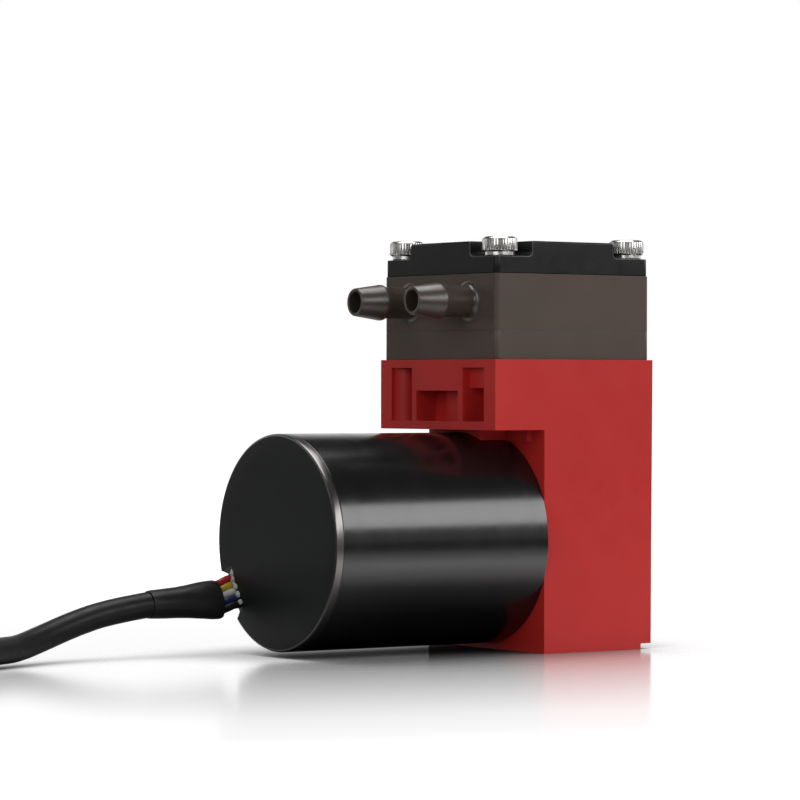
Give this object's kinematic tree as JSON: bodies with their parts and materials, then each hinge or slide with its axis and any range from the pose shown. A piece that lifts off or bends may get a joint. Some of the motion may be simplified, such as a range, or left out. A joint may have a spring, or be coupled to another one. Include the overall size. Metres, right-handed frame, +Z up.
{
  "type": "diaphragm vacuum pump",
  "caption": "Small diaphragm vacuum pump with a red L-shaped housing, a dark square head with two barbed hose nozzles, a round black brushless motor on its side and a sleeved lead.",
  "frame": {"origin": "on the base plane of the housing's foot, under the centre of the diaphragm", "axes": "+Z up, out of the head; -X along the motor and the hose nozzles; +Y towards the outlet nozzle"},
  "size_m": [0.1495, 0.0573, 0.0648],
  "materials": {
    "red_plastic": "satin moulded red plastic",
    "brown_plastic": "dark brown plastic, satin",
    "black_plastic": "satin black plastic",
    "black_anodised": "gloss black anodised",
    "black_end": "satin black anodised",
    "steel": "bright stainless steel",
    "bearing_steel": "polished bearing steel",
    "laminations": "stacked laminations",
    "copper": "enamelled copper wire",
    "board": "green circuit board",
    "chip": "moulded black package",
    "aluminium": "machined aluminium",
    "brass": "machined brass",
    "magnet": "nickelled magnet",
    "diaphragm_rubber": "moulded elastomer",
    "valve_rubber": "moulded elastomer",
    "rod_plastic": "glass-filled plastic",
    "red_wire": "red insulation",
    "yellow_wire": "yellow insulation",
    "white_wire": "white insulation",
    "blue_wire": "blue insulation",
    "black_wire": "black insulation",
    "glue": "milky hot glue",
    "sleeve": "black heat-shrink sleeve",
    "connector_nylon": "natural nylon",
    "tie_nylon": "black nylon"
  },
  "bodies": {
    "pump": {"housing": "red_plastic", "rear_cover": "red_plastic", "rear_cover_screws": "steel", "motor_can": "black_anodised", "motor_flange": "aluminium", "motor_end_cap": "black_end", "motor_mount_screws": "steel", "stator_core": "laminations", "stator_windings": "copper", "circuit_board": "board", "hall_sensors": "chip", "driver_chip": "chip", "front_bearing_outer": "bearing_steel", "rear_bearing_outer": "bearing_steel", "diaphragm": "diaphragm_rubber", "chamber_plate": "brown_plastic", "valve_seal": "diaphragm_rubber", "head_plate": "brown_plastic", "cover_gasket": "diaphragm_rubber", "top_cover": "black_plastic", "head_screws": "steel", "lead_red": "red_wire", "lead_yellow": "yellow_wire", "lead_white": "white_wire", "lead_blue": "blue_wire", "lead_black": "black_wire", "wire_glue": "glue", "sleeve_boot": "sleeve", "cable_sleeve": "sleeve", "cable_coil": "sleeve", "cable_tail": "sleeve", "coil_tie": "tie_nylon", "connector_leads": "red_wire", "connector_housing": "connector_nylon", "connector_contacts": "brass"},
    "rotor": {"shaft": "steel", "rotor_hub": "steel", "rotor_magnet": "magnet", "front_bearing_inner": "bearing_steel", "rear_bearing_inner": "bearing_steel", "eccentric": "brass", "set_screw": "steel", "rod_bearing_inner": "bearing_steel"},
    "rod": {"connecting_rod": "rod_plastic", "rod_bearing_outer": "bearing_steel", "clamp_disc": "aluminium", "clamp_screw": "steel"},
    "rod_ball_set": {"rod_bearing_balls": "bearing_steel"},
    "front_ball_set": {"front_bearing_balls": "bearing_steel"},
    "rear_ball_set": {"rear_bearing_balls": "bearing_steel"},
    "inlet_valve": {"inlet_valve_disc": "valve_rubber"},
    "outlet_valve": {"outlet_valve_disc": "valve_rubber"}
  },
  "joints": [
    {"name": "rotor_spin", "type": "hinge", "parent": "pump", "child": "rotor", "pos_m": [0, 0, 0.0176], "axis": [1, 0, 0], "continuous": true},
    {"name": "rod_turn", "type": "hinge", "parent": "rotor", "child": "rod", "pos_m": [0, 0, 0.0186], "axis": [1, 0, 0], "continuous": true, "deforming": ["diaphragm"]},
    {"name": "rod_balls_roll", "type": "hinge", "parent": "rotor", "child": "rod_ball_set", "pos_m": [0, 0, 0.0186], "axis": [1, 0, 0], "continuous": true},
    {"name": "front_balls_roll", "type": "hinge", "parent": "pump", "child": "front_ball_set", "pos_m": [0, 0, 0.0176], "axis": [1, 0, 0], "continuous": true},
    {"name": "rear_balls_roll", "type": "hinge", "parent": "pump", "child": "rear_ball_set", "pos_m": [0, 0, 0.0176], "axis": [1, 0, 0], "continuous": true},
    {"name": "inlet_valve_lift", "type": "slide", "parent": "pump", "child": "inlet_valve", "axis": [0, 0, -1], "range_m": [0, 0.0003]},
    {"name": "outlet_valve_lift", "type": "slide", "parent": "pump", "child": "outlet_valve", "axis": [0, 0, 1], "range_m": [0, 0.0003]}
  ],
  "couplings": [
    {"joint": "rod_turn", "follows": "rotor_spin", "ratio": -1},
    {"joint": "rod_balls_roll", "follows": "rotor_spin", "ratio": -0.5682},
    {"joint": "front_balls_roll", "follows": "rotor_spin", "ratio": 0.3929},
    {"joint": "rear_balls_roll", "follows": "rotor_spin", "ratio": 0.3929}
  ]
}
